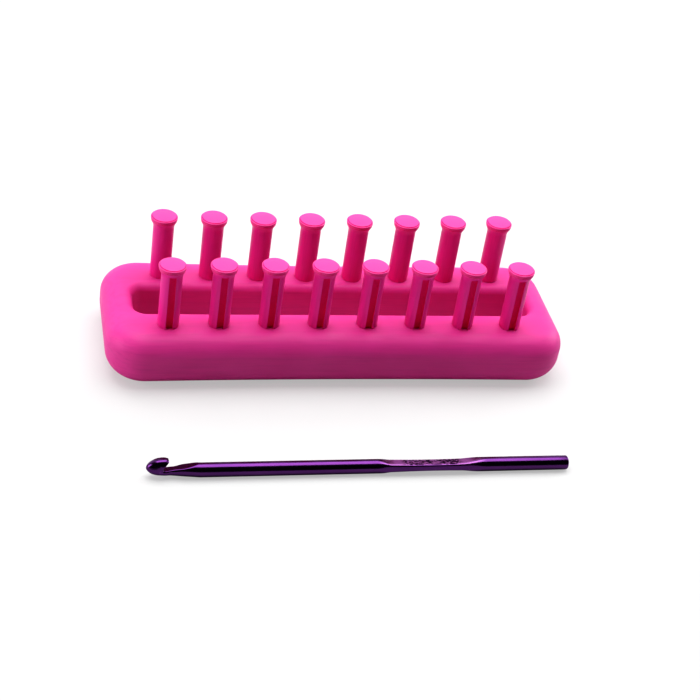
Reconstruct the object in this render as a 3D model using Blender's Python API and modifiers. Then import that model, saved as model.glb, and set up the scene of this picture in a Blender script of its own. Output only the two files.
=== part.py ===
"""Rectangular peg loom for hand knitting, with the crochet hook that works it.

The loom is a hollow moulded ring with a long slot through it: an upper shell, a base plate
that closes it from below, and two rows of grooved pegs pressed into sockets in the shell.
The hook lies on the table in front of the loom, parallel to it.
Metres, +Z up. The table is z = 0 and the middle of the whole set is x = y = 0.
"""

import math

import bmesh
import bpy
from mathutils import Matrix, Vector

MM = 0.001
GAP = 0.3 * MM                      # clearance between pieces that touch in the real object

# Driving dimensions of the loom's ring, seen from above
RING_HALF_LENGTH = 89.5 * MM
RING_HALF_WIDTH = 30.6 * MM         # at the ends; the long sides curve in by the waist
RING_CORNER_RADIUS = 15.0 * MM
WAIST_DEPTH = 1.4 * MM
SLOT_HALF_LENGTH = 78.4 * MM
SLOT_HALF_WIDTH = 8.6 * MM
SLOT_CORNER_RADIUS = 5.0 * MM

# Driving dimensions of the ring's section
RING_HEIGHT = 21.6 * MM
TOP_ROUND = 8.0 * MM
BOTTOM_ROUND = 9.8 * MM
SLOT_ROUND = 3.0 * MM
WALL = 2.4 * MM
SLOT_WALL = 2.0 * MM
SEAM_HEIGHT = 1.6 * MM              # the base plate is let in below this height
LIP_WIDTH = 2.2 * MM                # width of the shell's lower edge on the base plate
RIB_WIDTH = 1.2 * MM
RIB_TOP = 4.5 * MM

# Pegs
PEGS_PER_ROW = 8
PEG_PITCH = 19.05 * MM
ROW_OFFSET = 17.6 * MM              # from the loom's middle, before the waist draws it in
PEG_RADIUS = 4.0 * MM
HEAD_RADIUS = 5.15 * MM
PEG_HEIGHT = 26.5 * MM              # from the ring's top to the head's rim
SPIGOT_RADIUS = 2.5 * MM
SPIGOT_LENGTH = 10.4 * MM
GROOVE_WIDTH = 2.5 * MM
GROOVE_DEPTH = 1.4 * MM              # shallow enough to leave the spigot whole
GROOVE_TOP = PEG_HEIGHT - 3.4 * MM
SOCKET_WALL = 1.7 * MM
SOCKET_LENGTH = 11.2 * MM           # measured down from the ring's top

# Hook, measured from its tip and from its own axis
HOOK_LENGTH = 155.3 * MM
HOOK_RADIUS = 2.625 * MM
HOOK_YAW = math.radians(0.4)        # its handle end lies a little nearer the loom
HOOK_ROLL = math.radians(-16.0)     # its lip leans towards the loom
HOOK_TIP_X = -78.8 * MM
TIP_HEIGHT = 1.35 * MM
NOSE_LENGTH = 5.2 * MM
NOSE_WIDTH = 2.45 * MM              # half width of the head
NOSE_BOTTOM = -1.42 * MM
NECK_END = 19.0 * MM
NECK_PINCH = 0.6 * MM
PINCH_SHARE = 0.6
END_ROUND = 0.8 * MM
REST_START = 82.5 * MM
REST_END = 124.0 * MM
REST_BLEND = 5.5 * MM
REST_END_BLEND = 10.0 * MM
REST_SHOULDER = 1.85 * MM           # half thickness of the thumb rest at its ends
REST_THICKNESS = 1.30 * MM          # and in its middle
REST_WIDTH = 2.7 * MM

# The head's stations from the tip over the lip, down into the throat and along the neck:
# crown distance, crown height, belly distance in mm, how flat the crown is there and how
# square the section is
HOOK_HEAD = (
    (0.20, 1.98, 0.12, 0.0, 2.1),
    (0.75, 2.75, 0.38, 0.0, 2.3),
    (1.70, 3.50, 0.75, 0.0, 2.5),
    (2.90, 4.12, 1.15, 0.0, 2.7),
    (4.20, 4.52, 1.55, 0.0, 2.8),
    (5.60, 4.68, 1.90, 0.0, 2.8),
    (6.80, 4.65, 2.15, 0.0, 2.8),
    (7.55, 4.42, 2.38, 0.0, 2.8),
    (7.85, 4.00, 2.62, 0.05, 2.8),
    (6.98, 2.78, 3.38, 0.20, 2.7),
    (5.98, 1.42, 4.70, 0.35, 2.5),
    (5.98, 0.76, 5.95, 0.35, 2.3),
    (7.05, 0.57, 7.20, 0.35, 2.1),
    (9.20, 0.86, 9.20, 0.30, 2.0),
    (12.0, 1.28, 12.0, 0.20, 2.0),
    (15.0, 1.84, 15.0, 0.10, 2.0),
)

# Where the two things lie in the set
SET_DEPTH = 111.36 * MM

CORNER_STEPS = 5
SIDE_STEPS = 6
ROUND_STEPS = 4
PEG_STEPS = 16
HOOK_STEPS = 16


def waist(x):
    """How far the long sides are drawn in at x: a parabola, deepest in the middle."""
    return WAIST_DEPTH * (1.0 - (x / RING_HALF_LENGTH) ** 2)


def rounded_rectangle(half_length, half_width, radius):
    """Points of a rounded rectangle, anticlockwise, evenly matched between any two of them."""
    points = []
    corners = ((1, 1, 0.0), (-1, 1, 0.5), (-1, -1, 1.0), (1, -1, 1.5))
    for sign_x, sign_y, start in corners:
        centre = Vector((sign_x * (half_length - radius), sign_y * (half_width - radius)))
        for step in range(CORNER_STEPS + 1):
            angle = math.pi * (start + 0.5 * step / CORNER_STEPS)
            points.append(centre + radius * Vector((math.cos(angle), math.sin(angle))))
        if sign_x == sign_y:
            reach = half_length - radius
            for step in range(1, SIDE_STEPS):
                x = sign_x * reach * (1.0 - 2.0 * step / SIDE_STEPS)
                points.append(Vector((x, sign_y * half_width)))
    return points


def outer_outline(inset):
    """The ring's outer edge, moved inwards by the inset, with its waist."""
    half_width = RING_HALF_WIDTH - inset
    outline = rounded_rectangle(RING_HALF_LENGTH - inset, half_width, RING_CORNER_RADIUS - inset)
    return [Vector((p.x, p.y * (1.0 - waist(p.x) / RING_HALF_WIDTH))) for p in outline]


def slot_outline(outset):
    """The slot's edge, moved outwards into the ring by the outset."""
    return rounded_rectangle(SLOT_HALF_LENGTH + outset, SLOT_HALF_WIDTH + outset,
                             SLOT_CORNER_RADIUS + outset)


def arc(centre, radius, start, end, steps=ROUND_STEPS):
    """Points (distance, height) on an arc; angles in degrees from the distance axis."""
    points = []
    for step in range(steps + 1):
        angle = math.radians(start + (end - start) * step / steps)
        points.append((centre[0] + radius * math.cos(angle), centre[1] + radius * math.sin(angle)))
    return points


def angle_at_height(radius, height):
    """Degrees below the horizontal at which a bottom round passes a height."""
    return math.degrees(math.asin(1.0 - height / radius))


def shell_section():
    """Closed section of the upper shell as (outline, distance, height)."""
    outer_seam = angle_at_height(BOTTOM_ROUND, SEAM_HEIGHT)
    slot_seam = angle_at_height(SLOT_ROUND, SEAM_HEIGHT)
    bottom_centre = (BOTTOM_ROUND, BOTTOM_ROUND)
    top_centre = (TOP_ROUND, RING_HEIGHT - TOP_ROUND)

    outer = arc(bottom_centre, BOTTOM_ROUND, 180 + outer_seam, 180)
    outer += arc(top_centre, TOP_ROUND, 180, 90)
    slot = arc((SLOT_ROUND, RING_HEIGHT - SLOT_ROUND), SLOT_ROUND, 90, 180)
    slot += arc((SLOT_ROUND, SLOT_ROUND), SLOT_ROUND, 180, 180 + slot_seam)
    slot += [(SLOT_WALL, SEAM_HEIGHT), (SLOT_WALL, RING_HEIGHT - WALL)]

    inner_round = BOTTOM_ROUND - WALL
    lip_inset = outer[0][0] + LIP_WIDTH
    lip_angle = math.degrees(math.acos((BOTTOM_ROUND - lip_inset) / inner_round))
    inner = arc(top_centre, TOP_ROUND - WALL, 90, 180)
    inner += arc(bottom_centre, inner_round, 180, 180 + lip_angle)
    inner += [(lip_inset, SEAM_HEIGHT)]
    return (tag(outer_outline, outer) + tag(slot_outline, slot) + tag(outer_outline, inner))


def base_section():
    """Closed section of the base plate: a flush plate with two ribs that locate it."""
    plate_top = SEAM_HEIGHT - GAP
    outer_seam = angle_at_height(BOTTOM_ROUND, plate_top)
    slot_seam = angle_at_height(SLOT_ROUND, plate_top)
    shell_seam = angle_at_height(BOTTOM_ROUND, SEAM_HEIGHT)
    shell_lip = BOTTOM_ROUND * (1.0 - math.cos(math.radians(shell_seam))) + LIP_WIDTH

    outer_rib = shell_lip + GAP
    slot_rib = SLOT_WALL + GAP
    outer = [(outer_rib + RIB_WIDTH, plate_top), (outer_rib + RIB_WIDTH, RIB_TOP),
             (outer_rib, RIB_TOP), (outer_rib, plate_top)]
    outer += arc((BOTTOM_ROUND, BOTTOM_ROUND), BOTTOM_ROUND, 180 + outer_seam, 270)
    slot = arc((SLOT_ROUND, SLOT_ROUND), SLOT_ROUND, 270, 180 + slot_seam)
    slot += [(slot_rib, plate_top), (slot_rib, RIB_TOP),
             (slot_rib + RIB_WIDTH, RIB_TOP), (slot_rib + RIB_WIDTH, plate_top)]
    return tag(outer_outline, outer) + tag(slot_outline, slot)


def tag(outline, points):
    """Adds to each point of a section the outline that it follows, and drops repeats."""
    tagged = []
    for distance, height in points:
        repeat = tagged and math.hypot(tagged[-1][1] - distance, tagged[-1][2] - height) < 1e-7
        if not repeat:
            tagged.append((outline, distance, height))
    return tagged


def new_object(name, mesh, collection, material=None):
    """Puts a mesh into the scene as a named object."""
    made = bpy.data.objects.new(name, mesh)
    collection.objects.link(made)
    if material and not mesh.materials:
        mesh.materials.append(material)
    return made


def mesh_from(bm, name):
    """Turns a bmesh into a mesh with its faces pointing outwards."""
    bmesh.ops.recalc_face_normals(bm, faces=bm.faces)
    mesh = bpy.data.meshes.new(name)
    bm.to_mesh(mesh)
    bm.free()
    return mesh


def smooth(mesh, sharp_degrees=35.0):
    mesh.shade_smooth()
    mesh.set_sharp_from_angle(angle=math.radians(sharp_degrees))


def ring_mesh(name, section):
    """Sweeps a closed section round the ring: a loft between its outer edge and its slot."""
    bm = bmesh.new()
    loops = []
    for outline, distance, height in section:
        loops.append([bm.verts.new((p.x, p.y, height)) for p in outline(distance)])
    count = len(loops[0])
    for index, loop in enumerate(loops):
        following = loops[(index + 1) % len(loops)]
        for i in range(count):
            j = (i + 1) % count
            bm.faces.new((loop[i], loop[j], following[j], following[i]))
    return mesh_from(bm, name)


def cylinders_mesh(name, radius, low, high, places):
    """Upright cylinders between two heights, one at each place."""
    bm = bmesh.new()
    for place in places:
        at = Matrix.Translation((place.x, place.y, 0.5 * (low + high)))
        bmesh.ops.create_cone(bm, cap_ends=True, segments=PEG_STEPS, radius1=radius,
                              radius2=radius, depth=high - low, matrix=at)
    return mesh_from(bm, name)


def peg_places():
    """The pegs' places on the loom by name, front row first, from left to right."""
    places = {}
    for row, side in (("front", -1), ("back", 1)):
        for number in range(PEGS_PER_ROW):
            x = (number - 0.5 * (PEGS_PER_ROW - 1)) * PEG_PITCH
            places[f"peg_{row}_{number + 1}"] = Vector((x, side * (ROW_OFFSET - waist(x))))
    return places


def as_tool(made):
    """Marks an object that only cuts or joins another one."""
    made.hide_render = True
    made.display_type = "WIRE"


def add_boolean(made, tool, operation):
    modifier = made.modifiers.new(operation.title(), "BOOLEAN")
    modifier.operation = operation
    modifier.object = tool
    modifier.solver = "EXACT"


def peg_mesh(tools):
    """One peg, standing on z = 0: a turned body with a groove down its -Y side."""
    profile = [
        (0.0, PEG_HEIGHT + 0.25 * MM),
        (4.30 * MM, PEG_HEIGHT + 0.12 * MM),
        (4.66 * MM, PEG_HEIGHT),
        (4.74 * MM, PEG_HEIGHT - 0.22 * MM),
        (4.98 * MM, PEG_HEIGHT - 0.28 * MM),
        (HEAD_RADIUS, PEG_HEIGHT - 0.52 * MM),
        (5.12 * MM, PEG_HEIGHT - 0.75 * MM),
        (4.90 * MM, PEG_HEIGHT - 0.95 * MM),
        (5.06 * MM, PEG_HEIGHT - 1.25 * MM),
        (4.84 * MM, PEG_HEIGHT - 1.62 * MM),
        (4.92 * MM, PEG_HEIGHT - 1.90 * MM),
        (4.50 * MM, PEG_HEIGHT - 2.60 * MM),
        (4.15 * MM, PEG_HEIGHT - 3.40 * MM),
        (PEG_RADIUS, PEG_HEIGHT - 4.30 * MM),
        (PEG_RADIUS, GAP),
        (SPIGOT_RADIUS, GAP),
        (SPIGOT_RADIUS, -SPIGOT_LENGTH + 0.5 * MM),
        (SPIGOT_RADIUS - 0.5 * MM, -SPIGOT_LENGTH),
        (0.0, -SPIGOT_LENGTH),
    ]
    bm = bmesh.new()
    verts = [bm.verts.new((radius, 0.0, height)) for radius, height in profile]
    for upper, lower in zip(verts, verts[1:]):
        bm.edges.new((upper, lower))
    outline = bpy.data.meshes.new("peg_profile")
    bm.to_mesh(outline)
    bm.free()
    turned = new_object("peg_turned", outline, tools)
    screw = turned.modifiers.new("Screw", "SCREW")
    screw.steps = PEG_STEPS
    screw.render_steps = PEG_STEPS
    screw.use_merge_vertices = True
    screw.merge_threshold = 0.00001

    bottom = -1.0 * MM
    groove_floor = PEG_RADIUS - GROOVE_DEPTH
    groove_reach = 6.0 * MM
    size = Vector((GROOVE_WIDTH, groove_reach, GROOVE_TOP - bottom))
    centre = Vector((0.0, -groove_floor - 0.5 * groove_reach, 0.5 * (GROOVE_TOP + bottom)))
    bm = bmesh.new()
    bmesh.ops.create_cube(bm, matrix=Matrix.LocRotScale(centre, None, size))
    groove = new_object("peg_groove_tool", mesh_from(bm, "peg_groove_tool"), tools)
    as_tool(groove)
    add_boolean(turned, groove, "DIFFERENCE")

    graph = bpy.context.evaluated_depsgraph_get()
    mesh = bpy.data.meshes.new_from_object(turned.evaluated_get(graph))
    mesh.name = "peg"
    bpy.data.objects.remove(turned)
    smooth(mesh)
    return mesh


def nose_swell(along):
    """Share of its full size that the rounded nose has reached at a distance from the tip."""
    return math.sqrt(max(0.0, 1.0 - (1.0 - min(along / NOSE_LENGTH, 1.0)) ** 2))


def belly_height(along):
    """Height of the hook's underside: a round nose, then a straight run down to the shaft."""
    if along < NOSE_LENGTH:
        return TIP_HEIGHT - (TIP_HEIGHT - NOSE_BOTTOM) * nose_swell(along)
    share = (along - NOSE_LENGTH) / (NECK_END - NOSE_LENGTH)
    return NOSE_BOTTOM - (HOOK_RADIUS + NOSE_BOTTOM) * min(share, 1.0)


def head_width(along):
    """Half width of the head and the neck, which is pinched behind the throat."""
    if along < NOSE_LENGTH:
        return NOSE_WIDTH * nose_swell(along)
    share = min((along - NOSE_LENGTH) / (NECK_END - NOSE_LENGTH), 1.0)
    pinch = NECK_PINCH * math.sin(math.pi * min(share / PINCH_SHARE, 1.0)) ** 2
    return NOSE_WIDTH + (HOOK_RADIUS - NOSE_WIDTH) * share ** 2 - pinch


def rest_section(along):
    """(half thickness, half width, squareness) of the shaft, with its thumb rest."""
    share = (along - REST_START) / (REST_END - REST_START)
    if not 0.0 < share < 1.0:
        return HOOK_RADIUS, HOOK_RADIUS, 2.0
    shoulder = min(1.0, (along - REST_START) / REST_BLEND, (REST_END - along) / REST_END_BLEND)
    shoulder = shoulder * shoulder * (3.0 - 2.0 * shoulder)
    sag = (REST_THICKNESS - REST_SHOULDER) * math.sin(math.pi * share)
    half = HOOK_RADIUS + (REST_SHOULDER - HOOK_RADIUS + sag) * shoulder
    flattened = (HOOK_RADIUS - half) / (HOOK_RADIUS - REST_THICKNESS)
    width = HOOK_RADIUS + (REST_WIDTH - HOOK_RADIUS) * flattened
    return half, width, 2.0 + 4.0 * flattened


def section_ring(bm, crown, belly, width, flat=0.0, squareness=2.0):
    """A ring across the hook between two points of its side outline, as (distance, height).

    It is an ellipse when flat is 0 and squareness 2; flat cuts its crown off straight.
    """
    rise = Vector(crown) - Vector(belly)
    direction = rise.normalized()
    half = 0.5 * rise.length * (1.0 + flat)
    ceiling = rise.length - half
    ring = []
    for step in range(HOOK_STEPS):
        angle = 2.0 * math.pi * step / HOOK_STEPS
        across = math.copysign(abs(math.cos(angle)) ** (2.0 / squareness), math.cos(angle))
        upwards = math.copysign(abs(math.sin(angle)) ** (2.0 / squareness), math.sin(angle))
        point = Vector(belly) + direction * (half + min(half * upwards, ceiling))
        ring.append(bm.verts.new((point.x, width * across, point.y)))
    return ring


def head_rings(bm):
    """The rings of the head and the neck, from the tip on."""
    rings = []
    for crown_at, crown_height, belly_at, flat, squareness in HOOK_HEAD:
        crown = (crown_at * MM, crown_height * MM)
        belly = (belly_at * MM, belly_height(belly_at * MM))
        width = head_width(0.5 * (crown[0] + belly[0]))
        if crown[0] > NOSE_LENGTH and crown[0] == belly[0]:
            flat = max(flat, 2.0 * width / (crown[1] - belly[1]) - 1.0)
        rings.append(section_ring(bm, crown, belly, width, flat, squareness))
    return rings


def shaft_stations():
    """Distances from the tip at which the shaft has a section."""
    stations = [NECK_END, 50.0 * MM, REST_START]
    stations += [REST_START + REST_BLEND * share for share in (0.25, 0.5, 0.75, 1.0)]
    flat_length = REST_END - REST_START - REST_BLEND - REST_END_BLEND
    stations += [REST_START + REST_BLEND + flat_length * share for share in (0.25, 0.5, 0.75)]
    stations += [REST_END - REST_END_BLEND * share for share in (1.0, 0.8, 0.6, 0.4, 0.2)]
    return stations + [REST_END]


def hook_mesh():
    """The whole hook along +X from its tip, on its own axis."""
    bm = bmesh.new()
    rings = head_rings(bm)
    for along in shaft_stations():
        half, width, squareness = rest_section(along)
        rings.append(section_ring(bm, (along, half), (along, -half), width, 0.0, squareness))
    for angle in (0.0, 30.0, 60.0, 90.0):
        turn = math.radians(angle)
        radius = HOOK_RADIUS - END_ROUND * (1.0 - math.cos(turn))
        along = HOOK_LENGTH - END_ROUND * (1.0 - math.sin(turn))
        rings.append(section_ring(bm, (along, radius), (along, -radius), radius))
    tip = bm.verts.new((0.0, 0.0, TIP_HEIGHT))
    for i in range(HOOK_STEPS):
        bm.faces.new((tip, rings[0][i], rings[0][(i + 1) % HOOK_STEPS]))
    for ring, following in zip(rings, rings[1:]):
        for i in range(HOOK_STEPS):
            j = (i + 1) % HOOK_STEPS
            bm.faces.new((ring[i], ring[j], following[j], following[i]))
    bm.faces.new(rings[-1])
    return mesh_from(bm, "crochet_hook")


def make_material(name, colour, roughness, metallic):
    material = bpy.data.materials.new(name)
    material.use_nodes = True
    shader = material.node_tree.nodes["Principled BSDF"]
    shader.inputs["Base Color"].default_value = colour
    shader.inputs["Roughness"].default_value = roughness
    shader.inputs["Metallic"].default_value = metallic
    return material


def make_collection(name):
    made = bpy.data.collections.new(name)
    bpy.context.scene.collection.children.link(made)
    return made


def build_loom(parts, tools):
    """The shell, its base plate and the pegs."""
    shell_pink = make_material("shell_plastic", (0.85, 0.035, 0.30, 1.0), 0.42, 0.0)
    base_pink = make_material("base_plastic", (0.78, 0.03, 0.27, 1.0), 0.50, 0.0)
    peg_pink = make_material("peg_plastic", (0.82, 0.03, 0.28, 1.0), 0.38, 0.0)

    widest = max(point.y for point in outer_outline(0.0))
    loom = Vector((0.0, 0.5 * SET_DEPTH - widest, 0.0))
    places = peg_places()

    shell = new_object("frame_shell", ring_mesh("frame_shell", shell_section()), parts, shell_pink)
    shell.location = loom
    panel_middle = RING_HEIGHT - 0.5 * WALL
    socket_bottom = RING_HEIGHT - SOCKET_LENGTH
    bore = SPIGOT_RADIUS + GAP
    sockets = new_object("socket_tool", cylinders_mesh(
        "socket_tool", bore + SOCKET_WALL, socket_bottom, panel_middle, places.values()), tools)
    bores = new_object("bore_tool", cylinders_mesh(
        "bore_tool", bore, socket_bottom - WALL, RING_HEIGHT + WALL, places.values()), tools)
    for tool in (sockets, bores):
        tool.location = loom
        as_tool(tool)
    add_boolean(shell, sockets, "UNION")
    add_boolean(shell, bores, "DIFFERENCE")
    smooth(shell.data)

    base = new_object("base_plate", ring_mesh("base_plate", base_section()), parts, base_pink)
    base.location = loom
    smooth(base.data)

    peg = peg_mesh(tools)
    for name, place in places.items():
        made = new_object(name, peg, parts, peg_pink)
        made.location = loom + Vector((place.x, place.y, RING_HEIGHT))
        if place.y > 0.0:
            made.rotation_euler.z = math.pi


def build_hook(parts):
    """The crochet hook, its origin on its axis above the table at the loom's middle."""
    purple = make_material("hook_anodised", (0.11, 0.015, 0.20, 1.0), 0.22, 1.0)
    hook = new_object("crochet_hook", hook_mesh(), parts, purple)
    smooth(hook.data, 50.0)
    front = -0.5 * SET_DEPTH
    swing = math.sin(HOOK_YAW) * (-HOOK_TIP_X - NECK_END)
    at = Vector((0.0, front + HOOK_RADIUS + swing, HOOK_RADIUS))
    turn = Matrix.Rotation(HOOK_YAW, 4, "Z") @ Matrix.Rotation(HOOK_ROLL, 4, "X")
    hook.matrix_world = Matrix.Translation(at) @ turn @ Matrix.Translation((HOOK_TIP_X, 0.0, 0.0))


def main():
    for old in list(bpy.data.objects):
        bpy.data.objects.remove(old)
    parts = make_collection("peg_loom")
    tools = make_collection("tools")
    build_loom(parts, tools)
    build_hook(parts)


main()
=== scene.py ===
"""Looks of the rectangular peg loom and its crochet hook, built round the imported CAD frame.

Every visible piece is a fine mesh that stands for one CAD node: the ring's shell and base
plate, the sixteen pegs and the hook. Metres, +Z up, in the frame's own coordinates.
"""

import math

import bmesh
import bpy
from mathutils import Matrix, Quaternion, Vector


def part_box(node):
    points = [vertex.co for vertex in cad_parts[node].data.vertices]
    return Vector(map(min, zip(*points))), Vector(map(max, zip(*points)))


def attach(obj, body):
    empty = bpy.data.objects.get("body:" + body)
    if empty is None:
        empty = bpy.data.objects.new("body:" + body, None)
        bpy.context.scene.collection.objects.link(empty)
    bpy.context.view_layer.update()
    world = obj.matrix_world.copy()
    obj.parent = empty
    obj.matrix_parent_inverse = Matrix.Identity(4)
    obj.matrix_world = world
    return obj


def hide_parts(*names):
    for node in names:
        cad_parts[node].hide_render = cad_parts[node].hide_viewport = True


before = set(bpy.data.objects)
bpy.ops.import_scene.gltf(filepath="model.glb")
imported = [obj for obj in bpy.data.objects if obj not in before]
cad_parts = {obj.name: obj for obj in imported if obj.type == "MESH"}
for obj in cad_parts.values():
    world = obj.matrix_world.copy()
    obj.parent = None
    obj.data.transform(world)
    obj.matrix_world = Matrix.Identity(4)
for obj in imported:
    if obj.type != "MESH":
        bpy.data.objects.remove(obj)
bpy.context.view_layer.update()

MM = 0.001

# ---------------------------------------------------------------- the frame's own places
shell_low, shell_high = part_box("frame_shell")
base_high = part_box("base_plate")[1]
RING_MIDDLE = Vector((0.5 * (shell_low.x + shell_high.x),
                      0.5 * (shell_low.y + shell_high.y), 0.0))
RING_TOP = shell_high.z

# ---------------------------------------------------------------- the ring
RING_HALF_LENGTH = 0.5 * (shell_high.x - shell_low.x)
RING_HALF_WIDTH = 30.6 * MM
RING_CORNER_RADIUS = 15.0 * MM
WAIST_DEPTH = 1.4 * MM
SLOT_HALF_LENGTH = 78.4 * MM
SLOT_HALF_WIDTH = 8.6 * MM
SLOT_CORNER_RADIUS = 5.0 * MM
TOP_ROUND = 8.0 * MM
BOTTOM_ROUND = 9.8 * MM
SLOT_ROUND = 3.0 * MM
WALL = 2.4 * MM
SLOT_WALL = 2.0 * MM
SEAM_HEIGHT = shell_low.z
SEAM_GAP = 0.08 * MM
LIP_WIDTH = 2.2 * MM
RIB_WIDTH = 1.2 * MM
RIB_TOP = base_high.z
CORNER_STEPS = 20
SIDE_STEPS = 40
ROUND_STEPS = 14
INNER_ROUND_STEPS = 6

# ---------------------------------------------------------------- the pegs
PEG_RADIUS = 4.0 * MM
PEG_CHAMFER = 0.25 * MM
PEG_CHAMFER_WIDTH = 0.08 * MM
PEG_EDGE_BEVEL = 0.09 * MM
SPIGOT_RADIUS = 2.5 * MM
SPIGOT_LENGTH = 10.4 * MM
SPIGOT_CHAMFER = 0.5 * MM
SOCKET_GAP = 0.3 * MM
SOCKET_WALL = 1.7 * MM
SOCKET_LENGTH = 11.2 * MM
GROOVE_WIDTH = 2.5 * MM
GROOVE_DEPTH = 1.4 * MM
DOME = 0.25 * MM
DOME_EDGE = 4.60 * MM
DOME_DROP = DOME - 0.05 * MM
DOME_STEPS = 12
PEG_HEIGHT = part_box("peg_front_1")[1].z - RING_TOP - DOME
GROOVE_TOP = PEG_HEIGHT - 3.4 * MM
PEG_FOOT = 0.04 * MM
PEG_STEPS = 72
# Height above which the pegs' heads take a painted sheen
PEG_CROWN = PEG_HEIGHT - 2.3 * MM

# The head from the edge of its disc down over the rim and two beads: radius and distance
# below the peg's top, in mm
HEAD_EDGE = (
    (4.66, -0.02), (4.71, 0.04), (4.735, 0.12), (4.75, 0.20), (4.79, 0.25),
    (4.88, 0.26), (4.98, 0.28), (5.07, 0.34), (5.13, 0.43), (5.15, 0.54),
    (5.14, 0.68), (5.07, 0.79), (4.92, 0.88), (4.88, 0.95), (4.92, 1.04),
    (5.05, 1.17), (5.08, 1.28), (5.05, 1.42), (4.86, 1.54), (4.80, 1.62),
    (4.84, 1.71), (4.92, 1.83), (4.92, 1.95),
)
# The fine lines of the head, which take the groove's painted shade: where each starts and ends
# below the peg's top
HEAD_LINES = ((0.0, 0.24 * MM), (0.88 * MM, 1.04 * MM), (1.54 * MM, 1.71 * MM))
FLARE_TOP = 1.95 * MM
FLARE_LENGTH = 2.45 * MM
FLARE_REACH = 0.92 * MM
FLARE_STEPS = 14

# ---------------------------------------------------------------- the hook
HOOK_LENGTH = 155.3 * MM
HOOK_RADIUS = 2.625 * MM
HOOK_YAW = math.radians(0.4)
HOOK_ROLL = math.radians(-16.0)
HOOK_TIP_X = -78.8 * MM
TIP_HEIGHT = 1.35 * MM
NOSE_LENGTH = 5.2 * MM
NOSE_WIDTH = 2.45 * MM
NOSE_BOTTOM = -1.42 * MM
NECK_END = 19.0 * MM
HOOK_SWING = math.sin(HOOK_YAW) * (-HOOK_TIP_X - NECK_END)
NECK_PINCH = 0.6 * MM
PINCH_SHARE = 0.6
END_ROUND = 0.8 * MM
REST_START = 82.5 * MM
REST_END = 124.0 * MM
REST_BLEND = 5.5 * MM
REST_END_BLEND = 10.0 * MM
REST_SHOULDER = 1.85 * MM
REST_THICKNESS = 1.30 * MM
REST_WIDTH = 2.7 * MM
HOOK_STEPS = 96
FLAT_EDGE = 0.2 * MM

# The head's side outline over the lip, down into the throat and along the neck: crown
# distance, crown height and belly distance in mm, how flat the crown is there and how square
# the section
HOOK_HEAD = (
    (0.0, 1.35, 0.0, 0.0, 2.0),
    (0.20, 1.98, 0.12, 0.0, 2.1),
    (0.75, 2.75, 0.38, 0.0, 2.3),
    (1.70, 3.50, 0.75, 0.0, 2.5),
    (2.90, 4.12, 1.15, 0.0, 2.7),
    (4.20, 4.52, 1.55, 0.0, 2.8),
    (5.60, 4.68, 1.90, 0.0, 2.8),
    (6.80, 4.65, 2.15, 0.0, 2.8),
    (7.55, 4.42, 2.38, 0.0, 2.8),
    (7.85, 4.00, 2.62, 0.05, 2.8),
    (7.52, 3.42, 2.95, 0.12, 2.8),
    (6.98, 2.78, 3.38, 0.20, 2.7),
    (6.38, 2.08, 3.95, 0.28, 2.6),
    (5.98, 1.42, 4.70, 0.35, 2.5),
    (5.86, 1.02, 5.35, 0.35, 2.4),
    (5.98, 0.76, 5.95, 0.35, 2.3),
    (6.38, 0.62, 6.55, 0.35, 2.2),
    (7.05, 0.57, 7.20, 0.35, 2.1),
    (9.20, 0.86, 9.20, 0.30, 2.0),
    (12.0, 1.28, 12.0, 0.20, 2.0),
    (15.0, 1.84, 15.0, 0.10, 2.0),
    (17.3, 2.36, 17.3, 0.02, 2.0),
    (19.0, 2.625, 19.0, 0.0, 2.0),
    (20.5, 2.625, 20.5, 0.0, 2.0),
)
HEAD_SUBSTEPS = 6
# From the throat's floor on, the neck's flat grows until it is cut from a round section
FLOOR_ROW = 12
FLAT_START = 7.3 * MM
FLAT_GROWTH = 1.5 * MM


# ================================================================ mesh helpers
def mesh_from(bm, name):
    bmesh.ops.remove_doubles(bm, verts=bm.verts, dist=1e-7)
    bmesh.ops.recalc_face_normals(bm, faces=bm.faces)
    mesh = bpy.data.meshes.new(name)
    bm.to_mesh(mesh)
    bm.free()
    return mesh


def new_object(name, mesh):
    made = bpy.data.objects.new(name, mesh)
    bpy.context.scene.collection.objects.link(made)
    return made


def smooth(mesh, sharp_degrees):
    mesh.shade_smooth()
    mesh.set_sharp_from_angle(angle=math.radians(sharp_degrees))


def add_boolean(made, tool, operation):
    modifier = made.modifiers.new(operation.title(), "BOOLEAN")
    modifier.operation = operation
    modifier.object = tool
    modifier.solver = "EXACT"


def add_bevel(made, width, segments, degrees):
    modifier = made.modifiers.new("Bevel", "BEVEL")
    modifier.width = width
    modifier.segments = segments
    modifier.limit_method = "ANGLE"
    modifier.angle_limit = math.radians(degrees)


def apply_modifiers(made, tools=()):
    """Bakes an object's modifiers into its mesh, and removes the tools they used."""
    graph = bpy.context.evaluated_depsgraph_get()
    mesh = bpy.data.meshes.new_from_object(made.evaluated_get(graph))
    made.modifiers.clear()
    made.data = mesh
    for tool in tools:
        bpy.data.objects.remove(tool)


def dress(mesh, *materials):
    mesh.materials.clear()
    for material in materials:
        mesh.materials.append(material)


def finish_piece(made, body, node):
    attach(made, body)
    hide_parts(node)


def arc(centre, radius, start, end, steps=ROUND_STEPS):
    """Points (distance, height) on an arc; angles in degrees from the distance axis."""
    points = []
    for step in range(steps + 1):
        angle = math.radians(start + (end - start) * step / steps)
        points.append((centre[0] + radius * math.cos(angle), centre[1] + radius * math.sin(angle)))
    return points


# ================================================================ the ring
def waist(x):
    """How far the long sides are drawn in at x."""
    return WAIST_DEPTH * (1.0 - (x / RING_HALF_LENGTH) ** 2)


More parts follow.
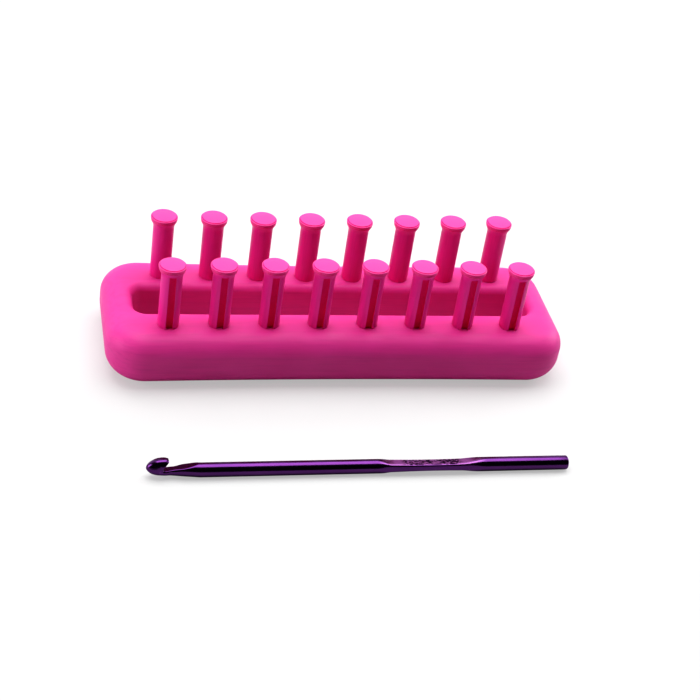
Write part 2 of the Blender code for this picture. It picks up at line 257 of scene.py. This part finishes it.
def rounded_rectangle(half_length, half_width, radius):
    """Points of a rounded rectangle, anticlockwise, evenly matched between any two of them."""
    points = []
    corners = ((1, 1, 0.0), (-1, 1, 0.5), (-1, -1, 1.0), (1, -1, 1.5))
    for sign_x, sign_y, start in corners:
        centre = Vector((sign_x * (half_length - radius), sign_y * (half_width - radius)))
        for step in range(CORNER_STEPS + 1):
            angle = math.pi * (start + 0.5 * step / CORNER_STEPS)
            points.append(centre + radius * Vector((math.cos(angle), math.sin(angle))))
        if sign_x == sign_y:
            reach = half_length - radius
            for step in range(1, SIDE_STEPS):
                x = sign_x * reach * (1.0 - 2.0 * step / SIDE_STEPS)
                points.append(Vector((x, sign_y * half_width)))
    return points


def outer_outline(inset):
    """The ring's outer edge, moved inwards by the inset, with its waist."""
    half_width = RING_HALF_WIDTH - inset
    outline = rounded_rectangle(RING_HALF_LENGTH - inset, half_width, RING_CORNER_RADIUS - inset)
    return [Vector((p.x, p.y * (1.0 - waist(p.x) / RING_HALF_WIDTH))) for p in outline]


def slot_outline(outset):
    """The slot's edge, moved outwards into the ring by the outset."""
    return rounded_rectangle(SLOT_HALF_LENGTH + outset, SLOT_HALF_WIDTH + outset,
                             SLOT_CORNER_RADIUS + outset)


def angle_at_height(radius, height):
    """Degrees below the horizontal at which a bottom round passes a height."""
    return math.degrees(math.asin(1.0 - height / radius))


def tag(outline, points):
    """Adds to each point of a section the outline that it follows, and drops repeats."""
    tagged = []
    for distance, height in points:
        repeat = tagged and math.hypot(tagged[-1][1] - distance, tagged[-1][2] - height) < 1e-7
        if not repeat:
            tagged.append((outline, distance, height))
    return tagged


def ring_mesh(name, section):
    """Sweeps a closed section round the ring, between its outer edge and its slot."""
    bm = bmesh.new()
    loops = []
    for outline, distance, height in section:
        loops.append([bm.verts.new((p.x, p.y, height)) for p in outline(distance)])
    count = len(loops[0])
    for index, loop in enumerate(loops):
        following = loops[(index + 1) % len(loops)]
        for i in range(count):
            j = (i + 1) % count
            bm.faces.new((loop[i], loop[j], following[j], following[i]))
    return mesh_from(bm, name)


def shell_section():
    """Closed section of the upper shell as (outline, distance, height)."""
    outer_seam = angle_at_height(BOTTOM_ROUND, SEAM_HEIGHT)
    slot_seam = angle_at_height(SLOT_ROUND, SEAM_HEIGHT)
    bottom_centre = (BOTTOM_ROUND, BOTTOM_ROUND)
    top_centre = (TOP_ROUND, RING_TOP - TOP_ROUND)

    outer = arc(bottom_centre, BOTTOM_ROUND, 180 + outer_seam, 180)
    outer += arc(top_centre, TOP_ROUND, 180, 90)
    slot = arc((SLOT_ROUND, RING_TOP - SLOT_ROUND), SLOT_ROUND, 90, 180)
    slot += arc((SLOT_ROUND, SLOT_ROUND), SLOT_ROUND, 180, 180 + slot_seam)
    slot += [(SLOT_WALL, SEAM_HEIGHT), (SLOT_WALL, RING_TOP - WALL)]

    inner_round = BOTTOM_ROUND - WALL
    lip_inset = outer[0][0] + LIP_WIDTH
    lip_angle = math.degrees(math.acos((BOTTOM_ROUND - lip_inset) / inner_round))
    inner = arc(top_centre, TOP_ROUND - WALL, 90, 180, INNER_ROUND_STEPS)
    inner += arc(bottom_centre, inner_round, 180, 180 + lip_angle, INNER_ROUND_STEPS)
    inner += [(lip_inset, SEAM_HEIGHT)]
    return tag(outer_outline, outer) + tag(slot_outline, slot) + tag(outer_outline, inner)


def base_section():
    """Closed section of the base plate: a flush plate with two ribs that locate it."""
    plate_top = SEAM_HEIGHT - SEAM_GAP
    outer_seam = angle_at_height(BOTTOM_ROUND, plate_top)
    slot_seam = angle_at_height(SLOT_ROUND, plate_top)
    shell_seam = angle_at_height(BOTTOM_ROUND, SEAM_HEIGHT)
    shell_lip = BOTTOM_ROUND * (1.0 - math.cos(math.radians(shell_seam))) + LIP_WIDTH

    outer_rib = shell_lip + SEAM_GAP
    slot_rib = SLOT_WALL + SEAM_GAP
    outer = [(outer_rib + RIB_WIDTH, plate_top), (outer_rib + RIB_WIDTH, RIB_TOP),
             (outer_rib, RIB_TOP), (outer_rib, plate_top)]
    outer += arc((BOTTOM_ROUND, BOTTOM_ROUND), BOTTOM_ROUND, 180 + outer_seam, 270)
    slot = arc((SLOT_ROUND, SLOT_ROUND), SLOT_ROUND, 270, 180 + slot_seam)
    slot += [(slot_rib, plate_top), (slot_rib, RIB_TOP),
             (slot_rib + RIB_WIDTH, RIB_TOP), (slot_rib + RIB_WIDTH, plate_top)]
    return tag(outer_outline, outer) + tag(slot_outline, slot)


def cylinders(name, radius, low, high, places):
    """Upright cylinders between two heights, one at each place, as one tool."""
    bm = bmesh.new()
    for place in places:
        at = Matrix.Translation((place.x, place.y, 0.5 * (low + high)))
        bmesh.ops.create_cone(bm, cap_ends=True, segments=PEG_STEPS // 2, radius1=radius,
                              radius2=radius, depth=high - low, matrix=at)
    return new_object(name, mesh_from(bm, name))


def peg_places():
    """Each peg's place on the ring's top by node name, from the CAD's own boxes."""
    places = {}
    for node in sorted(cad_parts):
        if node.startswith("peg_"):
            low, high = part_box(node)
            places[node] = Vector((0.5 * (low.x + high.x), 0.5 * (low.y + high.y), RING_TOP))
    return places


def build_ring(places, shell_material, base_material):
    shell = new_object("ring_shell", ring_mesh("ring_shell", shell_section()))
    shell.location = RING_MIDDLE
    bore = SPIGOT_RADIUS + SOCKET_GAP
    socket_bottom = RING_TOP - SOCKET_LENGTH
    sockets = cylinders("socket_tool", bore + SOCKET_WALL, socket_bottom,
                        RING_TOP - 0.5 * WALL, places.values())
    bores = cylinders("bore_tool", bore, socket_bottom - WALL, RING_TOP + WALL, places.values())
    add_boolean(shell, sockets, "UNION")
    add_boolean(shell, bores, "DIFFERENCE")
    apply_modifiers(shell, (sockets, bores))
    smooth(shell.data, 30.0)
    dress(shell.data, shell_material)
    finish_piece(shell, "loom", "frame_shell")

    base = new_object("ring_base_plate", ring_mesh("ring_base_plate", base_section()))
    base.location = RING_MIDDLE
    smooth(base.data, 30.0)
    dress(base.data, base_material)
    finish_piece(base, "loom", "base_plate")


# ================================================================ the pegs
def peg_profile():
    """The peg's outline as (radius, height), from the top of its head to its spigot's end."""
    dome_radius = (DOME_EDGE ** 2 + DOME_DROP ** 2) / (2.0 * DOME_DROP)
    dome_angle = math.degrees(math.asin(DOME_EDGE / dome_radius))
    centre = (0.0, PEG_HEIGHT + DOME - dome_radius)
    points = arc(centre, dome_radius, 90, 90 - dome_angle, DOME_STEPS)
    points += [(radius * MM, PEG_HEIGHT - drop * MM) for radius, drop in HEAD_EDGE]
    for step in range(1, FLARE_STEPS + 1):
        share = step / FLARE_STEPS
        points.append((PEG_RADIUS + FLARE_REACH * (1.0 - share) ** 1.5,
                       PEG_HEIGHT - FLARE_TOP - FLARE_LENGTH * share))
    points += [(PEG_RADIUS, 0.5 * PEG_HEIGHT), (PEG_RADIUS, PEG_CHAMFER + PEG_FOOT),
               (PEG_RADIUS - PEG_CHAMFER_WIDTH, PEG_FOOT), (SPIGOT_RADIUS, PEG_FOOT),
               (SPIGOT_RADIUS, SPIGOT_CHAMFER - SPIGOT_LENGTH),
               (SPIGOT_RADIUS - SPIGOT_CHAMFER, -SPIGOT_LENGTH), (0.0, -SPIGOT_LENGTH)]
    return points


def peg_mesh():
    """One peg standing on z = 0, with its groove on the -Y side."""
    bm = bmesh.new()
    verts = [bm.verts.new((radius, 0.0, height)) for radius, height in peg_profile()]
    edges = [bm.edges.new(pair) for pair in zip(verts, verts[1:])]
    bmesh.ops.spin(bm, geom=verts + edges, cent=(0, 0, 0), axis=(0, 0, 1), dvec=(0, 0, 0),
                   angle=2.0 * math.pi, steps=PEG_STEPS, use_merge=True)
    turned = new_object("peg_turned", mesh_from(bm, "peg_turned"))

    bottom = -1.0 * MM
    reach = 6.0 * MM
    floor = PEG_RADIUS - GROOVE_DEPTH
    size = Vector((GROOVE_WIDTH, reach, GROOVE_TOP - bottom))
    centre = Vector((0.0, -floor - 0.5 * reach, 0.5 * (GROOVE_TOP + bottom)))
    bm = bmesh.new()
    bmesh.ops.create_cube(bm, matrix=Matrix.LocRotScale(centre, None, size))
    groove = new_object("groove_tool", mesh_from(bm, "groove_tool"))
    add_boolean(turned, groove, "DIFFERENCE")
    add_bevel(turned, PEG_EDGE_BEVEL, 2, 42.0)
    apply_modifiers(turned, (groove,))
    mesh = turned.data
    bpy.data.objects.remove(turned)
    smooth(mesh, 35.0)
    return mesh


def is_shaded(at):
    """Whether the middle of a peg's face lies in the groove or in a fine line of the head, which
    take the painted shade.
    """
    in_line = any(start < PEG_HEIGHT - at.z < end for start, end in HEAD_LINES)
    across = abs(at.x) < 0.5 * GROOVE_WIDTH + 0.02 * MM
    outside_spigot = at.y < 0.2 * MM - SPIGOT_RADIUS
    along = PEG_FOOT < at.z < GROOVE_TOP + 0.05 * MM
    return in_line or (across and outside_spigot and along)


def build_pegs(places, material, groove_shade_material):
    """One mesh for all sixteen pegs; the back row is turned half round."""
    mesh = peg_mesh()
    dress(mesh, material, groove_shade_material)
    # The groove and the head's fine lines get the painted-shade material
    for face in mesh.polygons:
        face.material_index = int(is_shaded(face.center))
    for node, place in places.items():
        made = new_object(node.replace("peg_", "loom_peg_"), mesh)
        made.location = place
        if node.startswith("peg_back"):
            made.rotation_euler.z = math.pi
        finish_piece(made, "loom", node)


# ================================================================ the hook
def nose_swell(along):
    """Share of its full size that the rounded nose has reached at a distance from the tip."""
    return math.sqrt(max(0.0, 1.0 - (1.0 - min(along / NOSE_LENGTH, 1.0)) ** 2))


def belly_height(along):
    """Height of the hook's underside: a round nose, then a straight run down to the shaft."""
    if along < NOSE_LENGTH:
        return TIP_HEIGHT - (TIP_HEIGHT - NOSE_BOTTOM) * nose_swell(along)
    share = (along - NOSE_LENGTH) / (NECK_END - NOSE_LENGTH)
    return NOSE_BOTTOM - (HOOK_RADIUS + NOSE_BOTTOM) * min(share, 1.0)


def head_width(along):
    """Half width of the head and the neck, which is pinched behind the throat."""
    if along < NOSE_LENGTH:
        return NOSE_WIDTH * nose_swell(along)
    share = min((along - NOSE_LENGTH) / (NECK_END - NOSE_LENGTH), 1.0)
    pinch = NECK_PINCH * math.sin(math.pi * min(share / PINCH_SHARE, 1.0)) ** 2
    return NOSE_WIDTH + (HOOK_RADIUS - NOSE_WIDTH) * share ** 2 - pinch


def rest_section(along):
    """(half thickness, half width, squareness) of the shaft, with its thumb rest."""
    share = (along - REST_START) / (REST_END - REST_START)
    if not 0.0 < share < 1.0:
        return HOOK_RADIUS, HOOK_RADIUS, 2.0
    shoulder = min(1.0, (along - REST_START) / REST_BLEND, (REST_END - along) / REST_END_BLEND)
    shoulder = shoulder * shoulder * (3.0 - 2.0 * shoulder)
    sag = (REST_THICKNESS - REST_SHOULDER) * math.sin(math.pi * share)
    half = HOOK_RADIUS + (REST_SHOULDER - HOOK_RADIUS + sag) * shoulder
    flattened = (HOOK_RADIUS - half) / (HOOK_RADIUS - REST_THICKNESS)
    width = HOOK_RADIUS + (REST_WIDTH - HOOK_RADIUS) * flattened
    return half, width, 2.0 + 4.0 * flattened


def soft_ceiling(height, ceiling, softness):
    """The lower of a height and a ceiling, with a rounded edge between the two."""
    lower = min(height, ceiling)
    spread = math.exp((lower - height) / softness) + math.exp((lower - ceiling) / softness)
    return lower - softness * math.log(spread)


def section_ring(bm, crown, belly, width, flat=0.0, squareness=2.0):
    """A ring across the hook between two points of its side outline, as (distance, height).

    It is an ellipse when flat is 0 and squareness 2; flat cuts its crown off straight.
    """
    rise = Vector(crown) - Vector(belly)
    direction = rise.normalized()
    half = 0.5 * rise.length * (1.0 + flat)
    ceiling = rise.length - half
    softness = min(FLAT_EDGE, 0.2 * (half - ceiling))
    ring = []
    for step in range(HOOK_STEPS):
        angle = 2.0 * math.pi * step / HOOK_STEPS
        across = math.copysign(abs(math.cos(angle)) ** (2.0 / squareness), math.cos(angle))
        upwards = math.copysign(abs(math.sin(angle)) ** (2.0 / squareness), math.sin(angle))
        height = half * upwards
        if softness > 0.001 * MM:
            height = soft_ceiling(height, ceiling, softness)
        point = Vector(belly) + direction * (half + height)
        ring.append(bm.verts.new((point.x, width * across, point.y)))
    return ring


def catmull_rom(rows, index, share):
    """A value of each column between two rows, on a smooth curve through all the rows."""
    last = len(rows) - 1
    before, start, end, after = (rows[min(max(index + i, 0), last)] for i in (-1, 0, 1, 2))
    values = []
    for a, b, c, d in zip(before, start, end, after):
        linear = 0.5 * (c - a) * share
        square = (a - 2.5 * b + 2.0 * c - 0.5 * d) * share ** 2
        cube = (1.5 * (b - c) + 0.5 * (d - a)) * share ** 3
        values.append(b + linear + square + cube)
    return values


def head_rings(bm):
    """The rings of the head and the neck, from just behind the tip on."""
    rings = []
    for index in range(len(HOOK_HEAD) - 2):
        for substep in range(HEAD_SUBSTEPS):
            if index == 0 and substep == 0:
                continue
            row = catmull_rom(HOOK_HEAD, index, substep / HEAD_SUBSTEPS)
            crown = (row[0] * MM, row[1] * MM)
            belly = (row[2] * MM, belly_height(row[2] * MM))
            width = head_width(0.5 * (crown[0] + belly[0]))
            flat = max(row[3], 0.0)
            if index > FLOOR_ROW:
                round_flat = 2.0 * width / math.dist(crown, belly) - 1.0
                grown = min(max((crown[0] - FLAT_START) / FLAT_GROWTH, 0.0), 1.0)
                flat += (max(flat, round_flat) - flat) * grown
            rings.append(section_ring(bm, crown, belly, width, flat, row[4]))
    return rings


def shaft_stations():
    """Distances from the tip at which the shaft has a section."""
    stations = []
    spans = ((NECK_END, REST_START, 20), (REST_START, REST_START + REST_BLEND, 24),
             (REST_START + REST_BLEND, REST_END - REST_END_BLEND, 24),
             (REST_END - REST_END_BLEND, REST_END, 32), (REST_END, HOOK_LENGTH - END_ROUND, 8))
    for start, end, steps in spans:
        stations += [start + (end - start) * step / steps for step in range(steps)]
    return stations


def hook_mesh():
    """The whole hook along +X from its tip, on its own axis."""
    bm = bmesh.new()
    rings = head_rings(bm)
    for along in shaft_stations():
        half, width, squareness = rest_section(along)
        rings.append(section_ring(bm, (along, half), (along, -half), width, 0.0, squareness))
    for angle in range(0, 91, 10):
        turn = math.radians(angle)
        radius = HOOK_RADIUS - END_ROUND * (1.0 - math.cos(turn))
        along = HOOK_LENGTH - END_ROUND * (1.0 - math.sin(turn))
        rings.append(section_ring(bm, (along, radius), (along, -radius), radius))
    tip = bm.verts.new((0.0, 0.0, TIP_HEIGHT))
    for i in range(HOOK_STEPS):
        bm.faces.new((tip, rings[0][i], rings[0][(i + 1) % HOOK_STEPS]))
    for ring, following in zip(rings, rings[1:]):
        for i in range(HOOK_STEPS):
            j = (i + 1) % HOOK_STEPS
            bm.faces.new((ring[i], ring[j], following[j], following[i]))
    bm.faces.new(rings[-1])
    return mesh_from(bm, "hook")


def hook_placing():
    """The matrix that lays the hook, modelled along +X from its tip, on the table."""
    at = Vector((0.0, HOOK_RADIUS + HOOK_SWING - shell_high.y, HOOK_RADIUS))
    turn = Matrix.Rotation(HOOK_YAW, 4, "Z") @ Matrix.Rotation(HOOK_ROLL, 4, "X")
    return Matrix.Translation(at) @ turn @ Matrix.Translation((HOOK_TIP_X, 0.0, 0.0))


def build_hook(material):
    mesh = hook_mesh()
    mesh.transform(hook_placing())
    hook = new_object("anodised_hook", mesh)
    smooth(hook.data, 50.0)
    dress(hook.data, material)
    finish_piece(hook, "hook", "crochet_hook")


# ================================================================ materials
# Colours as linear red, green, blue and 1; where there are two, the material drifts between
# them
SHELL_PINK = ((0.80, 0.074, 0.37, 1.0), (0.76, 0.062, 0.34, 1.0))
BASE_PINK = ((0.80, 0.048, 0.33, 1.0), (0.77, 0.043, 0.31, 1.0))
PEG_PINK = ((0.86, 0.044, 0.36, 1.0), (0.83, 0.039, 0.34, 1.0))
# Painted sheen: the paler pink of the pegs' heads
PEG_HEAD_SHEEN_PINK = (0.92, 0.088, 0.38, 1.0)
# Painted shade in the pegs' grooves and the head's fine lines: deep red, darker near the foot,
# with darker patches
GROOVE_SHADE_NEAR_TOP = (0.92, 0.009, 0.24, 1.0)
GROOVE_SHADE_NEAR_FOOT = (0.88, 0.005, 0.14, 1.0)
GROOVE_SHADE = (0.82, 0.008, 0.12, 1.0)
PURPLE = ((0.122, 0.038, 0.165, 1.0), (0.102, 0.031, 0.145, 1.0))
PURPLE_WORN = (0.30, 0.11, 0.38, 1.0)
# How far in from the thumb rest's ends its matt ground and its specks begin and are full
GRIP_FADE = (0.5 * MM, 7.0 * MM)
SPECK_FADE = (9.0 * MM, 11.0 * MM)
GRIP_GROUND = (0.36, 0.15, 0.40, 1.0)
GRIP_SPECK = (0.030, 0.003, 0.040, 1.0)
FLOOR_GREY = ((0.62, 0.62, 0.62, 1.0), (0.60, 0.60, 0.60, 1.0))
WHITE = (1.0, 1.0, 1.0, 1.0)

# How far the moulding streaks are stretched along each axis: smaller is longer
RING_FLOW = (0.05, 0.4, 1.0)
PEG_FLOW = (1.0, 1.0, 0.05)


class Shader:
    """A material's node tree with short calls for the nodes it is made of."""

    def __init__(self, name):
        self.material = bpy.data.materials.new(name)
        self.material.use_nodes = True
        self.tree = self.material.node_tree
        self.surface = self.tree.nodes["Principled BSDF"]

    def node(self, kind, **inputs):
        made = self.tree.nodes.new(kind)
        for key, value in inputs.items():
            made.inputs[key.replace("_", " ")].default_value = value
        return made

    def link(self, output, target):
        self.tree.links.new(output, target)

    def set(self, **values):
        for key, value in values.items():
            self.surface.inputs[key.replace("_", " ")].default_value = value

    def place(self, scale=(1.0, 1.0, 1.0), laid=None):
        """The piece's own coordinates in metres, as before it was laid down, and stretched."""
        vector = self.node("ShaderNodeTexCoord").outputs["Object"]
        if laid is not None:
            upright = self.node("ShaderNodeMapping")
            upright.vector_type = "TEXTURE"
            upright.inputs["Location"].default_value = laid.translation
            upright.inputs["Rotation"].default_value = laid.to_euler()
            self.link(vector, upright.inputs["Vector"])
            vector = upright.outputs["Vector"]
        mapping = self.node("ShaderNodeMapping", Scale=scale)
        self.link(vector, mapping.inputs["Vector"])
        return mapping.outputs["Vector"]

    def along_z(self, place):
        split = self.node("ShaderNodeSeparateXYZ")
        self.link(place, split.inputs["Vector"])
        return split.outputs["Z"]

    def noise(self, place, scale, detail=3.0, roughness=0.5):
        texture = self.node("ShaderNodeTexNoise", Scale=scale, Detail=detail,
                            Roughness=roughness)
        self.link(place, texture.inputs["Vector"])
        return texture.outputs["Fac"]

    def remap(self, value, low, high, from_low=0.3, from_high=0.7):
        ranged = self.node("ShaderNodeMapRange", From_Min=from_low, From_Max=from_high,
                           To_Min=low, To_Max=high)
        self.link(value, ranged.inputs["Value"])
        return ranged.outputs["Result"]

    def mix(self, factor, first, second):
        mixed = self.node("ShaderNodeMix")
        mixed.data_type = "RGBA"
        for socket, value in (("A", first), ("B", second)):
            target = [i for i in mixed.inputs if i.name == socket and i.type == "RGBA"][0]
            if isinstance(value, tuple):
                target.default_value = value
            else:
                self.link(value, target)
        self.link(factor, mixed.inputs[0])
        return [o for o in mixed.outputs if o.type == "RGBA"][0]

    def math(self, operation, first, second):
        made = self.node("ShaderNodeMath")
        made.operation = operation
        for socket, value in zip(made.inputs, (first, second)):
            if isinstance(value, float):
                socket.default_value = value
            else:
                self.link(value, socket)
        return made.outputs["Value"]

    def grip_patch(self, place, start, full):
        """1 on top of the hook's thumb rest and 0 off it, rising inwards from start to full."""
        split = self.node("ShaderNodeSeparateXYZ")
        self.link(place, split.inputs["Vector"])
        along, height = split.outputs["X"], split.outputs["Z"]
        begun = self.remap(along, 0.0, 1.0, REST_START + start, REST_START + full)
        ended = self.remap(along, 1.0, 0.0, REST_END - full, REST_END - start)
        on_top = self.remap(height, 0.0, 1.0, 0.85 * REST_THICKNESS, 0.97 * REST_THICKNESS)
        return self.math("MULTIPLY", self.math("MINIMUM", begun, ended), on_top)

    def bump(self, height, distance, strength=1.0, normal=None):
        bumped = self.node("ShaderNodeBump", Distance=distance, Strength=strength)
        self.link(height, bumped.inputs["Height"])
        if normal is not None:
            self.link(normal, bumped.inputs["Normal"])
        return bumped.outputs["Normal"]


def pink_plastic(name, colours, roughness, grain, flow, crown=None):
    """Satin moulded plastic: a soft body colour, flow streaks, fine mould grain, and edges paler
    partly from wear and partly as a painted highlight.

    Grain is the height of the mould's texture; a crown is a height above which the colour turns
    paler as a painted sheen, and that sheen colour.
    """
    colour, deeper = colours
    shader = Shader(name)
    place = shader.place()
    drift = shader.remap(shader.noise(place, 35.0, 2.0), 0.0, 1.0)
    streaks = shader.noise(shader.place(flow), 900.0, 3.0, 0.6)
    body = shader.mix(drift, colour, deeper)
    faint = tuple(0.9 * c for c in deeper[:3]) + (1.0,)
    body = shader.mix(shader.remap(streaks, 0.0, 0.7, 0.45, 0.75), body, faint)
    if crown is not None:
        # Painted sheen: above the crown height the colour turns paler
        height, paler = crown
        above = shader.remap(shader.along_z(place), 0.0, 1.0, height, height + 0.5 * MM)
        body = shader.mix(above, body, paler)
    # Convex edges turn paler: partly wear, partly a painted highlight line along rims and groove
    # edges
    pointed = shader.node("ShaderNodeNewGeometry").outputs["Pointiness"]
    worn = shader.remap(pointed, 0.0, 0.35, 0.53, 0.60)
    pale = tuple(min(1.0, c * 1.06 + 0.01) for c in colour[:3]) + (1.0,)
    shader.link(shader.mix(worn, body, pale), shader.surface.inputs["Base Color"])
    patches = shader.noise(place, 120.0, 4.0)
    shader.link(shader.remap(patches, roughness - 0.05, roughness + 0.07),
                shader.surface.inputs["Roughness"])
    fine = shader.noise(place, 5200.0, 2.0)
    ripple = shader.noise(place, 160.0, 2.0)
    rough_normal = shader.bump(fine, grain)
    streaked = shader.bump(streaks, 0.006 * MM, 1.0, rough_normal)
    shader.link(shader.bump(ripple, 0.03 * MM, 0.5, streaked), shader.surface.inputs["Normal"])
    shader.set(Subsurface_Weight=0.10, Subsurface_Scale=1.0 * MM, Specular_IOR_Level=0.28)
    shader.surface.inputs["Subsurface Radius"].default_value = (1.0, 0.25, 0.5)
    return shader.material


def groove_painted_shade(name):
    """Painted shade for the plastic down in the grooves and lines: a deep red as if lit only by
    way of their pink walls, darker towards the foot.
    """
    shader = Shader(name)
    place = shader.place()
    # Painted shade: darker towards the peg's foot, with patches of deeper shade
    depth = shader.remap(shader.along_z(place), 1.0, 0.0, 0.0, 0.8 * PEG_HEIGHT)
    body = shader.mix(depth, GROOVE_SHADE_NEAR_TOP, GROOVE_SHADE_NEAR_FOOT)
    shade = shader.remap(shader.noise(place, 700.0, 3.0), 0.0, 0.4)
    shader.link(shader.mix(shade, body, GROOVE_SHADE), shader.surface.inputs["Base Color"])
    shader.link(shader.bump(shader.noise(place, 5200.0, 2.0), 0.003 * MM),
                shader.surface.inputs["Normal"])
    shader.set(Roughness=0.6, Specular_IOR_Level=0.08)
    return shader.material


def anodised_purple(name):
    """Polished, dyed aluminium with fine draw lines and a matt, speckled patch to grip."""
    shader = Shader(name)
    laid = hook_placing()
    place = shader.place(laid=laid)
    lines = shader.noise(shader.place((0.03, 1.0, 1.0), laid), 9000.0, 3.0, 0.6)
    patches = shader.noise(place, 60.0, 3.0)
    body = shader.mix(shader.remap(patches, 0.0, 1.0), *PURPLE)
    pointed = shader.node("ShaderNodeNewGeometry").outputs["Pointiness"]
    worn = shader.remap(pointed, 0.0, 0.5, 0.54, 0.62)
    body = shader.mix(worn, body, PURPLE_WORN)
    grip = shader.grip_patch(place, *GRIP_FADE)
    specks = shader.remap(shader.noise(place, 1200.0, 1.0, 0.4), 0.0, 1.0, 0.46, 0.53)
    specks = shader.math("MULTIPLY", specks, shader.grip_patch(place, *SPECK_FADE))
    ground = shader.mix(specks, GRIP_GROUND, GRIP_SPECK)
    shader.link(shader.mix(grip, body, ground), shader.surface.inputs["Base Color"])
    polish = shader.remap(lines, 0.14, 0.24)
    matt = shader.math("MULTIPLY", grip, 0.5)
    shader.link(shader.math("MAXIMUM", polish, matt), shader.surface.inputs["Roughness"])
    drawn = shader.bump(lines, 0.0015 * MM)
    shader.link(shader.bump(specks, -0.03 * MM, 1.0, drawn), shader.surface.inputs["Normal"])
    shader.set(Metallic=1.0)
    return shader.material


# ================================================================ stage, light and camera
FLOOR_REACH = 9.0
FLOOR_GLOW = 0.84
FLOOR_GLOW_SHARE = 0.42

# Brightness of the studio's walls, and how straight back a direction points when it is full
WALL_DARK = 0.02
WALL_WHITE = 0.80
WALL_FULL_FROM = 0.95

# Name, place, aim, size and watts of each area light
LIGHTS = (
    ("top", (0.0, 0.22, 1.1), (0.0, 0.0, 0.02), (1.2, 1.0), 11.8),
    ("left", (-0.9, -0.06, 0.30), (0.0, 0.02, 0.03), (0.6, 0.5), 3.1),
    ("right", (0.85, 0.30, 0.42), (0.0, 0.02, 0.03), (0.6, 0.5), 3.2),
)

CAMERA_AZIMUTH = math.radians(-16.02)
CAMERA_ELEVATION = math.radians(35.03)
CAMERA_ROLL = math.radians(9.41)
CAMERA_DISTANCE = 594.8 * MM
CAMERA_TARGET = Vector((RING_MIDDLE.x - 0.16 * MM, RING_MIDDLE.y - 33.35 * MM, RING_TOP))
CAMERA_LENS = 81.84
CAMERA_SENSOR = 36.0


def build_floor():
    """A pale table; towards the camera it is partly overexposed, like the studio's own."""
    bm = bmesh.new()
    bmesh.ops.create_grid(bm, x_segments=8, y_segments=8, size=FLOOR_REACH)
    floor = new_object("floor", mesh_from(bm, "floor"))
    shader = Shader("floor_white")
    shade = shader.remap(shader.noise(shader.place(), 3.0), 0.0, 1.0)
    shader.link(shader.mix(shade, *FLOOR_GREY), shader.surface.inputs["Base Color"])
    shader.set(Roughness=0.9, Specular_IOR_Level=0.1)
    glow = shader.node("ShaderNodeEmission", Strength=FLOOR_GLOW)
    seen = shader.node("ShaderNodeLightPath").outputs["Is Camera Ray"]
    blend = shader.node("ShaderNodeMixShader")
    shader.link(shader.math("MULTIPLY", seen, FLOOR_GLOW_SHARE), blend.inputs["Fac"])
    shader.link(shader.surface.outputs["BSDF"], blend.inputs[1])
    shader.link(glow.outputs["Emission"], blend.inputs[2])
    shader.link(blend.outputs["Shader"],
                shader.tree.nodes["Material Output"].inputs["Surface"])
    dress(floor.data, shader.material)


def build_world():
    """Studio walls: white behind the table, dark on the side the camera stands."""
    world = bpy.data.worlds.new("studio")
    world.use_nodes = True
    tree = world.node_tree
    direction = tree.nodes.new("ShaderNodeTexCoord").outputs["Generated"]
    split = tree.nodes.new("ShaderNodeSeparateXYZ")
    tree.links.new(direction, split.inputs["Vector"])
    walls = tree.nodes.new("ShaderNodeMapRange")
    walls.interpolation_type = "SMOOTHSTEP"
    for socket, value in (("From Min", 0.0), ("From Max", WALL_FULL_FROM),
                          ("To Min", WALL_DARK), ("To Max", WALL_WHITE)):
        walls.inputs[socket].default_value = value
    tree.links.new(split.outputs["Y"], walls.inputs["Value"])
    background = tree.nodes["Background"]
    tree.links.new(walls.outputs["Result"], background.inputs["Strength"])
    background.inputs["Color"].default_value = WHITE
    bpy.context.scene.world = world


def build_lights():
    for name, place, aim, size, power in LIGHTS:
        data = bpy.data.lights.new(name, "AREA")
        data.shape = "RECTANGLE"
        data.size, data.size_y = size
        data.energy = power
        light = bpy.data.objects.new(name, data)
        light.location = place
        towards = Vector(aim) - Vector(place)
        light.rotation_euler = towards.to_track_quat("-Z", "Y").to_euler()
        bpy.context.scene.collection.objects.link(light)


def build_camera():
    away = Vector((math.sin(CAMERA_AZIMUTH) * math.cos(CAMERA_ELEVATION),
                   -math.cos(CAMERA_AZIMUTH) * math.cos(CAMERA_ELEVATION),
                   math.sin(CAMERA_ELEVATION)))
    data = bpy.data.cameras.new("camera")
    data.lens = CAMERA_LENS
    data.sensor_width = CAMERA_SENSOR
    data.clip_start = 0.01
    camera = bpy.data.objects.new("camera", data)
    camera.location = CAMERA_TARGET + away * CAMERA_DISTANCE
    aim = (-away).to_track_quat("-Z", "Y") @ Quaternion((0.0, 0.0, 1.0), CAMERA_ROLL)
    camera.rotation_mode = "QUATERNION"
    camera.rotation_quaternion = aim
    bpy.context.scene.collection.objects.link(camera)
    bpy.context.scene.camera = camera


def main():
    bpy.context.scene.view_settings.view_transform = "Standard"
    bpy.context.scene.view_settings.look = "High Contrast"
    shell_pink = pink_plastic("shell_pink", SHELL_PINK, 0.45, 0.0025 * MM, RING_FLOW)
    base_pink = pink_plastic("base_pink", BASE_PINK, 0.52, 0.004 * MM, RING_FLOW)
    peg_pink = pink_plastic("peg_pink", PEG_PINK, 0.34, 0.002 * MM, PEG_FLOW,
                            (PEG_CROWN, PEG_HEAD_SHEEN_PINK))
    places = peg_places()
    build_ring(places, shell_pink, base_pink)
    build_pegs(places, peg_pink, groove_painted_shade("groove_painted_shade"))
    build_hook(anodised_purple("anodised_purple"))
    build_floor()
    build_world()
    build_lights()
    build_camera()


main()
